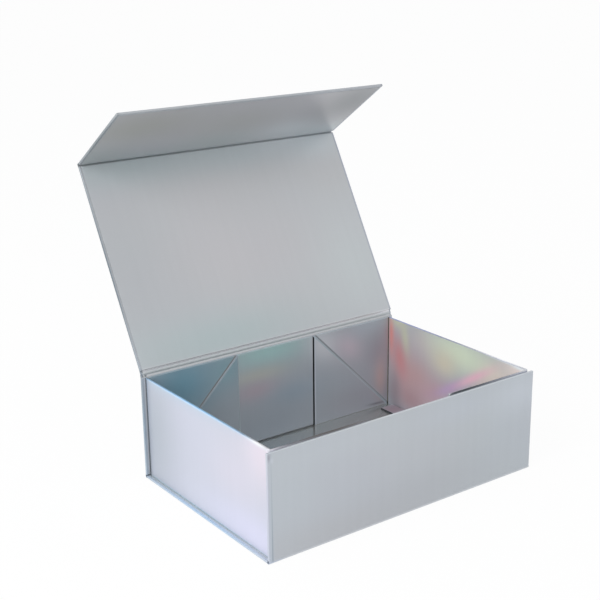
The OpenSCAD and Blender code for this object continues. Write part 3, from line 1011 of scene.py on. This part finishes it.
def flap_wrap(stuff):
    """The wrap of the flap, with the fold between it and the lid."""
    rows = [
        case_row(LID, LID_RUN - step * MM, PAPER, 0.0, FOLD_LINE_WEAR_AND_LIGHT)
        for step in FOLD_STEPS if step * MM > FOLD_INNER_R
    ]
    rows += flap_fold_rows(FOLD_INNER_R + PAPER, FOLD_INNER_R, CASE_X)
    rows += [
        case_row(FLAP, step * MM, PAPER, 0.0, FOLD_LINE_WEAR_AND_LIGHT)
        for step in reversed(FOLD_STEPS) if step * MM > FOLD_INNER_R
    ]
    rows += reversed(board_edge_rows(FLAP, FOLD_GAP, -1))
    rows += reversed(free_end_rows(FLAP, FLAP_LENGTH))
    piece = loft("flap_wrap_sheet", rows, ALONG_X, EDGE_R, EDGE_R, stuff)
    bend_at_flap(piece)
    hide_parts("flap_wrap")
    return piece


# Linings of the case

LINING_X = CASE_X - MARGIN
LINING_EDGE = 0.08 * MM
VALLEY_TOP = 3.9 * MM             # where a lining starts down into a fold
VALLEY_FOOT = 1.0 * MM            # where it reaches the wrap in the fold
VALLEY_STEPS = 10
VALLEY_WEAR_AND_LIGHT = 0.8                 # most wear and painted light on the upper bend of a valley
VALLEY_BEND = 0.45                # share of a valley that its upper bend takes
FOLD_LINED = -0.9 * MM            # face of the lining where it crosses a fold
SPINE_LINED = UNDER - 0.012 * MM  # the spine's lining lies level with its turn-ins


def lining_row(panel, along, top, under, fold=0.0):
    """One line of a lining across a case panel."""
    return case_row(panel, along, top, under, fold, LINING_X)


def valley_rows(panel, axis, way, level=LINED):
    """A lining pressed down into a fold, from its level on the panel to the wrap beside the fold's axis."""
    rows = []
    for step in range(VALLEY_STEPS + 1):
        share = step / VALLEY_STEPS
        eased = share * share * (3 - 2 * share)
        face = level + (FOLD_LINED - level) * eased
        along = axis + way * (VALLEY_TOP + (VALLEY_FOOT - VALLEY_TOP) * share)
        fold = VALLEY_WEAR_AND_LIGHT * math.sin(math.pi * min(1.0, 2.2 * share)) if share < VALLEY_BEND else 0.0
        rows.append(lining_row(panel, along, face + LINING_T, face, fold))
    return rows


def flat_lining(name, panel, first, last, body, node, stuff):
    """A lining that covers one panel and stops at its folds."""
    rows = [
        lining_row(panel, along, LINING_BACK, LINED)
        for along in (first, first + SETTLED, last - SETTLED, last)
    ]
    piece = loft(name, rows, ALONG_X, LINING_EDGE, LINING_EDGE, stuff)
    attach(piece, body)
    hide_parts(node)
    return piece


def spine_lining(stuff):
    """The lining of the spine, up to the lid's fold."""
    rows = [
        lining_row(SPINE, along, SPINE_LINED + PAPER, SPINE_LINED)
        for along in (SPINE_RUN - FOLD_GAP, VALLEY_TOP + 1.0 * MM)
    ]
    rows += valley_rows(SPINE, 0.0, 1, SPINE_LINED)[:-1]
    rows.append(lining_row(SPINE, FOLD_SPLIT * 0.9, 0.0, FOLD_LINED))
    piece = loft("spine_lining_sheet", rows, ALONG_X, LINING_EDGE, LINING_EDGE, stuff)
    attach(piece, "tray")
    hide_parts("spine_lining")
    return piece


def lid_lining(stuff):
    """The lining of the lid, with the valley of its fold."""
    rows = [lining_row(SPINE, step * MM, 0.0, FOLD_LINED) for step in (1.3, 1.0, 0.7, 0.45, 0.25)]
    rows += [lining_row(LID, step * MM, 0.0, FOLD_LINED) for step in (0.25, 0.45, 0.7)]
    rows += reversed(valley_rows(LID, 0.0, 1))
    rows += valley_rows(LID, LID_RUN, -1)
    rows.append(lining_row(LID, LID_RUN - FOLD_REACH, 0.0, FOLD_LINED))
    piece = loft("lid_lining_sheet", rows, ALONG_X, LINING_EDGE, LINING_EDGE, stuff)
    bend_at_lid(piece)
    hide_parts("lid_lining")
    return piece


def flap_lining(stuff):
    """The lining of the flap, from the lid's side of its fold to near its free edge."""
    end = FLAP_LENGTH - MARGIN
    rows = [lining_row(LID, LID_RUN - FOLD_REACH, 0.0, FOLD_LINED)]
    rows += flap_fold_rows(FOLD_INNER_R, FOLD_INNER_R + FOLD_LINED, LINING_X)
    rows.append(lining_row(FLAP, FOLD_REACH, 0.0, FOLD_LINED))
    rows += reversed(valley_rows(FLAP, 0.0, 1))
    rows += [lining_row(FLAP, along, LINING_BACK, LINED) for along in (end - SETTLED, end)]
    piece = loft("flap_lining_sheet", rows, ALONG_X, LINING_EDGE, LINING_EDGE, stuff)
    bend_at_flap(piece)
    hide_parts("flap_lining")
    return piece


# The tray

UPWARDS = (0, 0, 1)
WALL_EDGE = 0.5 * MM       # roundness of the walls' top edges
THIN = 0.4 * MM            # wrap and lining together, where there is no board
BACK_DROP = 0.5 * MM       # how far the sheet in the back folds stops below the walls
SIDE_RUN = INNER_X         # run of the tray's strip at its back corners, from the middle of the back
WALL_RUN = SIDE_RUN + INNER_BACK - INNER_FRONT  # the same at its front corners
TAB_RUN = WALL_RUN + INNER_X                    # the same where the tabs would meet
LINING_PROUD = 0.08 * MM   # how far the tray's lining stands out from its wrap
TRAY_MARGIN = 0.7 * MM     # bare wrap above the tray's lining
TAB_FLAT = INNER_X - 0.9 * MM                                # where a tab starts to turn at its corner
WALL_FLAT = (INNER_FRONT + 1.2 * MM, INNER_BACK - 1.6 * MM)  # ends of a wall's flat part


def tray_row(outer, inner, run, top, low=TRAY_Z, fold=0.0):
    """One upright line of the tray's strip."""
    return Row(
        Vector((*outer, 0)), Vector((*inner, 0)), low, top, run, fold
    )


CORNER_STEPS = 6
# Inner side of a front corner: how far each line lies in from the corner, across and along, in mm
INNER_CORNER = [(-0.6, 0), (-0.35, 0), (-0.17, 0.05), (-0.08, 0.12), (-0.02, 0.22), (0, 0.4), (0, 0.6)]
# Inner side of a wall's back end, going down over its board into the fold, in mm
WALL_END = [(0.0, 0.9), (0.06, 0.5), (0.25, 0.2), (0.6, 0.05), (1.2, 0.0)]


def corner_points(middle_y, first_angle, radius):
    """Points round the outside of a tray corner."""
    points = []
    for step in range(CORNER_STEPS + 1):
        angle = math.radians(first_angle + 90 * step / CORNER_STEPS)
        points.append((INNER_X + radius * math.cos(angle), middle_y + radius * math.sin(angle)))
    return points


def side_rows():
    """The right side of the tray, from the free end of its tab to the fold at the back corner."""
    rows = []
    for _, back, drop in round_edge(EDGE_R):
        x = TAB_END + back
        rows.append(tray_row((x, TRAY_FRONT + drop), (x, INNER_FRONT - drop), TAB_RUN - x, TAB_TOP, fold=1))
    for x in (TAB_END + EDGE_R + SETTLED, TAB_FLAT):
        rows.append(tray_row((x, TRAY_FRONT), (x, INNER_FRONT), TAB_RUN - x, TAB_TOP))
    for step, outer in enumerate(corner_points(INNER_FRONT, -90, WALL_T)):
        shift_x, shift_y = INNER_CORNER[step]
        inner = (INNER_X + shift_x * MM, INNER_FRONT + shift_y * MM)
        top = TAB_TOP + (WALL_TOP - TAB_TOP) * step / CORNER_STEPS
        rows.append(tray_row(outer, inner, WALL_RUN - step * 0.3 * MM, top, fold=0.7))
    for y in WALL_FLAT:
        rows.append(tray_row((TRAY_X, y), (INNER_X, y), SIDE_RUN + INNER_BACK - y, WALL_TOP))
    for shift, back in WALL_END:
        rows.append(tray_row(
            (TRAY_X, INNER_BACK - back * MM), (INNER_X + shift * MM, INNER_BACK - back * MM),
            SIDE_RUN + back * MM, WALL_TOP, fold=0.5,
        ))
    return rows


def back_sheet_rows():
    """The paper of the right back corner, and the sheet in the folds between the back's boards."""
    shift = WALL_END[-1][0] * MM
    rows = [tray_row((TRAY_X, INNER_BACK), (INNER_X + shift, INNER_BACK), SIDE_RUN, WALL_TOP)]
    outer_turn = corner_points(INNER_BACK, 0, WALL_T)
    inner_turn = corner_points(INNER_BACK, 0, WALL_T - THIN)
    for step, (outer, inner) in enumerate(zip(outer_turn, inner_turn)):
        top = WALL_TOP - BACK_DROP * step / CORNER_STEPS
        rows.append(tray_row(outer, inner, SIDE_RUN, top))
    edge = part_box("back_board")[1].x + PAPER
    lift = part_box("back_board")[0].z
    for x, low in ((edge + PAPER, TRAY_Z), (edge, lift)):
        rows.append(tray_row((x, TRAY_BACK), (x, TRAY_BACK - THIN), x, WALL_TOP - BACK_DROP, low))
    return rows


def mirrored(rows):
    """The same rows on the left."""
    flip = Matrix.Scale(-1, 3, Vector((1, 0, 0)))
    return [
        Row(flip @ row.outer, flip @ row.inner, row.low, row.high, -row.run, row.fold)
        for row in rows
    ]


def tray_sheets(outside, shade):
    """The wrapped side walls with their tabs, and the sheet behind the back's boards."""
    wall, back = side_rows(), back_sheet_rows()
    sheets = [
        loft("right_side_wall", wall, UPWARDS, 0, WALL_EDGE, outside, outside, True, 1.0),
        loft("left_side_wall", mirrored(wall), UPWARDS, 0, WALL_EDGE, outside, outside, True, 1.0),
        loft("right_back_sheet", back, UPWARDS, 0, 0, outside, shade, True),
        loft("left_back_sheet", mirrored(back), UPWARDS, 0, 0, outside, shade, True),
    ]
    for sheet in sheets:
        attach(sheet, "tray")
    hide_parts("tray_wrap")


def side_lining(name, left, stuff):
    """The lining on a side wall and its tab."""
    proud = LINING_PROUD
    tab_top, wall_top = TAB_TOP - TRAY_MARGIN, WALL_TOP - TRAY_MARGIN
    rows = [
        tray_row((x, INNER_FRONT - HAIR), (x, INNER_FRONT + proud), TAB_RUN - x, tab_top)
        for x in (TAB_END + MARGIN, TAB_END + MARGIN + SETTLED, TAB_FLAT)
    ]
    for step, (shift_x, shift_y) in enumerate(INNER_CORNER):
        ray = Vector((-1, 1)).normalized() if 1 < step < 5 else Vector((0, 1) if step < 3 else (-1, 0))
        base = Vector((INNER_X + shift_x * MM, INNER_FRONT + shift_y * MM))
        outer, inner = base - ray * HAIR, base + ray * proud
        top = tab_top + (WALL_TOP - TAB_TOP) * step / CORNER_STEPS
        rows.append(tray_row(outer, inner, WALL_RUN - step * 0.1 * MM, top))
    for y in (*WALL_FLAT, INNER_BACK - WALL_END[0][1] * MM):
        rows.append(tray_row((INNER_X + HAIR, y), (INNER_X - proud, y), SIDE_RUN + INNER_BACK - y, wall_top))
    for shift, back in WALL_END[1:-1]:
        x, y = INNER_X + shift * MM, INNER_BACK - back * MM
        rows.append(tray_row(
            (x + HAIR, y - HAIR), (x - proud, y + proud * 0.5), SIDE_RUN + back * MM, wall_top, fold=0.6
        ))
    rows = mirrored(rows) if left else rows
    piece = loft(name, rows, UPWARDS, 0, HAIR, stuff, stuff, True)
    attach(piece, "tray")
    return piece


PLATE_EDGE = 0.45 * MM       # roundness of the lined boards' edges
CREASE_HALF = 1.5 * MM       # half the width of the crease between two gusset boards
CREASE_RUN = 2000 * MM       # the creases lie on their own part of the sheet
# Section of the paper pressed into a crease: how far out from its middle, and how deep, in mm
CREASE_SECTION = [
    (-1.8, 0.06), (-1.5, 0.1), (-1.05, 0.17), (-0.7, 0.36), (-0.35, 0.6), (0.0, 0.72),
    (0.35, 0.6), (0.7, 0.36), (1.05, 0.17), (1.5, 0.1), (1.8, 0.06),
]
CORNER_SLOT = 1.1 * MM       # open slot between a gusset and its side wall
RIGHT_SLOT = 1.62 * MM       # open fold between the back panel and the right gusset
LEFT_SLOT = 0.05 * MM        # the left one is pressed shut
CREASE_END = 0.15 * MM       # how far a crease's paper stops below the wall's top


def gusset_outlines(fold_x):
    """Outlines in X and Z of the outer and the inner board of the right gusset."""
    low, top = TRAY_Z + HAIR, WALL_TOP
    side_x = INNER_X - CORNER_SLOT
    step = CREASE_HALF * math.sqrt(2)
    crease = INNER_X + TRAY_Z
    outer = [(side_x, top), (crease + step - top, top), (side_x, crease + step - side_x)]
    inner = [(fold_x, low), (crease - step - low, low), (fold_x, crease - step - fold_x)]
    return outer, inner


def crease_paper(name, way, stuff):
    """The lining where it is pressed into a gusset's slanting crease."""
    down = Vector((way, 0, -1)).normalized()
    out = Vector((way, 0, 1)).normalized()
    height = WALL_TOP - TRAY_Z
    start = Vector((way * (INNER_X - height), 0, WALL_TOP))
    rows = []
    for past, deep in CREASE_SECTION:
        past *= MM
        face = start + out * past + Vector((0, INNER_BACK + deep * MM, 0))
        high = min((height - CORNER_SLOT) * math.sqrt(2) - past, (height - HAIR) * math.sqrt(2) + past)
        back = face + Vector((0, LINING_T, 0))
        rows.append(Row(face, back, past + CREASE_END, high, way * CREASE_RUN + past, 0.0))
    piece = loft(name, rows, down, 0, 0, stuff)
    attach(piece, "tray")
    return piece


def back_wall(inside, left_inside):
    """The back wall: four gusset boards and the middle panel, on their sheet."""
    back, front = TRAY_BACK - HAIR, INNER_BACK
    fold_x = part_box("right_inner_gusset_board")[0].x - PAPER
    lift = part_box("back_board")[0].z - HAIR
    plates = []
    for side, way, stuff in (("right", 1, inside), ("left", -1, left_inside)):
        for kind, outline in zip(("outer", "inner"), gusset_outlines(fold_x)):
            flipped = [(way * x, z) for x, z in outline]
            plates.append(plate(f"{side}_{kind}_gusset", flipped, back, front, PLATE_EDGE, stuff))
    left_x, right_x = -(fold_x - LEFT_SLOT), fold_x - RIGHT_SLOT
    middle = [(left_x, lift), (right_x, lift), (right_x, WALL_TOP), (left_x, WALL_TOP)]
    plates.append(plate("middle_back_panel", middle, back, front, PLATE_EDGE, inside))
    for piece in plates:
        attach(piece, "tray")
    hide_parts("tray_lining")


FOOT_RUN = 600 * MM          # the feet lie on their own part of the sheet


def foot(name, way, stuff):
    """A side wall's foot, glued down on the base."""
    x_in, x_out = FOOT_LOW.x - PAPER, INNER_X
    y_front, y_back = FOOT_LOW.y - PAPER, FOOT_HIGH.y + PAPER
    top = FOOT_HIGH.z + PAPER
    rows = [(x_in + back, top - drop, 1.0) for _, back, drop in round_edge(EDGE_R)]
    rows += [
        (x_in + 1.2 * MM, top, 0.0),
        (x_out - 1.9 * MM, top, 0.0),
        (x_out - 1.3 * MM, top - 0.15 * MM, 0.8),
        (x_out - 1.0 * MM, top - 0.7 * MM, 0.6),
        (x_out - 0.8 * MM, TRAY_Z + 0.5 * MM, 0.0),
        (x_out - 0.1 * MM, TRAY_Z + 0.4 * MM, 0.0),
    ]
    made = [
        Row(
            Vector((way * x, 0, z)), Vector((way * x, 0, TRAY_Z)), y_front, y_back,
            way * (FOOT_RUN + x), fold,
        )
        for x, z, fold in rows
    ]
    piece = loft(name, made, (0, 1, 0), EDGE_R, EDGE_R, stuff, turned=True)
    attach(piece, "tray")
    return piece


# Stage, camera and lights

FLOOR_HALF = 30.0
FLOOR_DROP = 0.4 * MM  # the floor lies this far below the box
FLOOR_WHITE = 0.95     # share of plain white in the floor as the camera sees it
AMBIENT = 0.7          # strength of the even light from all sides
LAMP_PLACE, LAMP_TARGET = (-1.9, -0.5, 1.3), (0, 0, 0.1)
LAMP_SIZE, LAMP_POWER = 1.6, 36.0


def direct_rays(tree):
    """1 for the rays by which the picture shows a thing, straight, mirrored or through glass."""
    rays = add(tree, "LightPath").outputs
    plain = maths(tree, "MAXIMUM", rays["Is Camera Ray"], rays["Is Glossy Ray"])
    return maths(tree, "MAXIMUM", plain, rays["Is Transmission Ray"])


def floor():
    """A plain pale floor that shows white, with a soft shadow."""
    stuff = bpy.data.materials.new("studio_floor")
    tree = empty_tree(stuff)
    matt = add(tree, "BsdfDiffuse", {"Color": (0.9, 0.9, 0.9, 1)})
    white = add(tree, "Emission", {"Color": (1, 1, 1, 1), "Strength": 1.0})
    share = maths(tree, "MULTIPLY", direct_rays(tree), FLOOR_WHITE)
    both = add(tree, "MixShader", {0: share, 1: matt.outputs[0], 2: white.outputs[0]})
    add(tree, "OutputMaterial", {"Surface": both.outputs[0]})
    mesh = bpy.data.meshes.new("studio_floor")
    form = bmesh.new()
    bmesh.ops.create_grid(form, x_segments=8, y_segments=8, size=FLOOR_HALF)
    form.to_mesh(mesh)
    form.free()
    mesh.materials.append(stuff)
    piece = new_object("studio_floor", mesh)
    piece.location.z = -FLOOR_DROP


def world():
    """White behind everything, and an even soft light on the object."""
    made = bpy.data.worlds.new("studio")
    bpy.context.scene.world = made
    tree = empty_tree(made)
    white = add(tree, "Background", {"Color": (1, 1, 1, 1), "Strength": 1.0})
    soft = add(tree, "Background", {"Color": (0.97, 0.985, 1.0, 1), "Strength": AMBIENT})
    both = add(tree, "MixShader", {0: direct_rays(tree), 1: soft.outputs[0], 2: white.outputs[0]})
    add(tree, "OutputWorld", {"Surface": both.outputs[0]})


def lamp(name, place, target, size, power):
    """A large soft area lamp, turned to a point."""
    light = bpy.data.lights.new(name, "AREA")
    light.shape = "SQUARE"
    light.size = size
    light.energy = power
    made = new_object(name, light)
    made.location = place
    made.rotation_euler = (Vector(target) - Vector(place)).to_track_quat("-Z", "Y").to_euler()


CAMERA_PLACE = Vector((-0.653864, -0.842506, 0.511479))
CAMERA_YAW, CAMERA_PITCH, CAMERA_ROLL = 0.627, -0.304, -0.012
CAMERA_LENS = 71.77


def camera():
    """The camera, at the photograph's viewing angle."""
    ahead = Vector((
        math.sin(CAMERA_YAW) * math.cos(CAMERA_PITCH),
        math.cos(CAMERA_YAW) * math.cos(CAMERA_PITCH),
        math.sin(CAMERA_PITCH),
    ))
    level = ahead.cross(Vector((0, 0, 1))).normalized()
    upright = level.cross(ahead)
    right = level * math.cos(CAMERA_ROLL) + upright * math.sin(CAMERA_ROLL)
    up = upright * math.cos(CAMERA_ROLL) - level * math.sin(CAMERA_ROLL)
    lens = bpy.data.cameras.new("studio_camera")
    lens.lens = CAMERA_LENS
    lens.sensor_width = 36
    lens.clip_start, lens.clip_end = 0.01, 50
    made = new_object("studio_camera", lens)
    turn = Matrix((right, up, -ahead)).transposed().to_4x4()
    made.matrix_world = Matrix.Translation(CAMERA_PLACE) @ turn
    bpy.context.scene.camera = made


def dress_hidden_nodes():
    """Boards, tape and magnets keep their own solids, with their own materials."""
    kinds = {"board": greyboard(), "tape": tape(), "magnet": nickel()}
    for name, piece in frame["nodes"].items():
        stuff = kinds.get(name.split("_")[-1])
        if stuff:
            piece.data.materials.clear()
            piece.data.materials.append(stuff)


def build():
    """Every piece of the box."""
    outside, inside = case_outside(), case_inside()
    tray_out, tray_in = tray_outside(), tray_inside()
    case_wrap(outside)
    lid_wrap(outside)
    flap_wrap(outside)
    flat_lining(
        "base_lining_sheet", BASE, FOLD_GAP, BASE_RUN - FOLD_GAP, "tray", "base_lining", base_inside()
    )
    flat_lining(
        "front_lining_sheet", FRONT, FOLD_GAP, FRONT_TOP - PAPER - MARGIN, "tray", "front_lining", inside
    )
    spine_lining(spine_inside())
    lid_lining(inside)
    flap_lining(inside)
    tray_sheets(tray_out, fold_shade())
    side_lining("right_side_lining", False, tray_in)
    side_lining("left_side_lining", True, tray_in)
    back_wall(tray_in, left_gusset_inside())
    crease = crease_shade()
    crease_paper("right_crease_sheet", 1, crease)
    crease_paper("left_crease_sheet", -1, crease)
    foot("right_foot", 1, tray_in)
    foot("left_foot", -1, tray_in)
    dress_hidden_nodes()


build()
floor()
world()
lamp("left_softbox", LAMP_PLACE, LAMP_TARGET, LAMP_SIZE, LAMP_POWER)
camera()
bpy.context.scene.view_settings.view_transform = "Standard"
